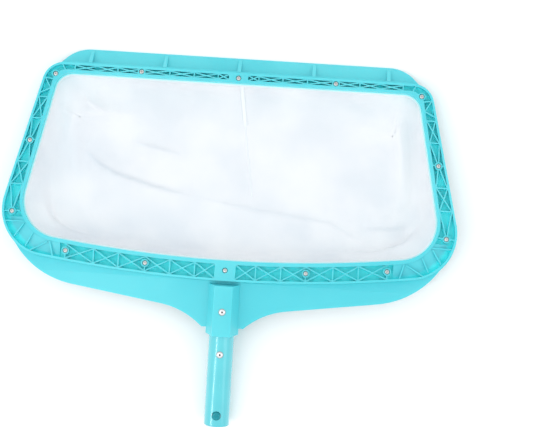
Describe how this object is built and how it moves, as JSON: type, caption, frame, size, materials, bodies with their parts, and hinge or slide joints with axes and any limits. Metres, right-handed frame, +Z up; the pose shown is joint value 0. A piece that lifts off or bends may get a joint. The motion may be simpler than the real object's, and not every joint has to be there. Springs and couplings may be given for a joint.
{
  "type": "leaf skimmer net",
  "caption": "Pool leaf skimmer head: moulded scoop frame with a screwed-on clamp ring, fine net bag and riveted handle tube with a push-button spring clip.",
  "frame": {"origin": "middle of the bounding box's underside, on the surface that the skimmer lies on", "axes": "+X across the scoop, +Y from the handle towards the scoop blade, +Z up out of the net's mouth"},
  "size_m": [0.5, 0.4076, 0.0497],
  "materials": {
    "cyan_plastic": "satin injection-moulded polypropylene, light cyan",
    "tube_paint": "gloss powder-coated aluminium tube, light cyan",
    "net_mesh": "fine white polyester mesh",
    "hem_fabric": "folded white polyester hem",
    "screw_steel": "zinc-plated steel with a cross recess",
    "rivet_aluminium": "plain aluminium blind rivet",
    "clip_steel": "spring steel strip",
    "button_plastic": "dark teal moulded plastic"
  },
  "bodies": {
    "skimmer": {"main_frame": "cyan_plastic", "clamp_ring": "cyan_plastic", "ring_screws": "screw_steel", "net_hem": "hem_fabric", "net_bag": "net_mesh", "handle_tube": "tube_paint", "socket_rivet": "rivet_aluminium", "stop_rivet": "rivet_aluminium", "clip_bend": "clip_steel"},
    "upper_leg": {"clip_leg_upper": "clip_steel", "clip_button_upper": "button_plastic"},
    "lower_leg": {"clip_leg_lower": "clip_steel", "clip_button_lower": "button_plastic"}
  },
  "joints": [
    {"name": "clip_upper_press", "type": "hinge", "parent": "skimmer", "child": "upper_leg", "pos_m": [0, -0.13168, 0.02852], "axis": [1, 0, 0], "range_deg": [0, 4], "stiffness_Nm_per_rad": 5, "springref_deg": -1.72},
    {"name": "clip_lower_press", "type": "hinge", "parent": "skimmer", "child": "lower_leg", "pos_m": [0, -0.13025, 0.0166], "axis": [-1, 0, 0], "range_deg": [0, 4], "stiffness_Nm_per_rad": 5, "springref_deg": -1.72}
  ]
}
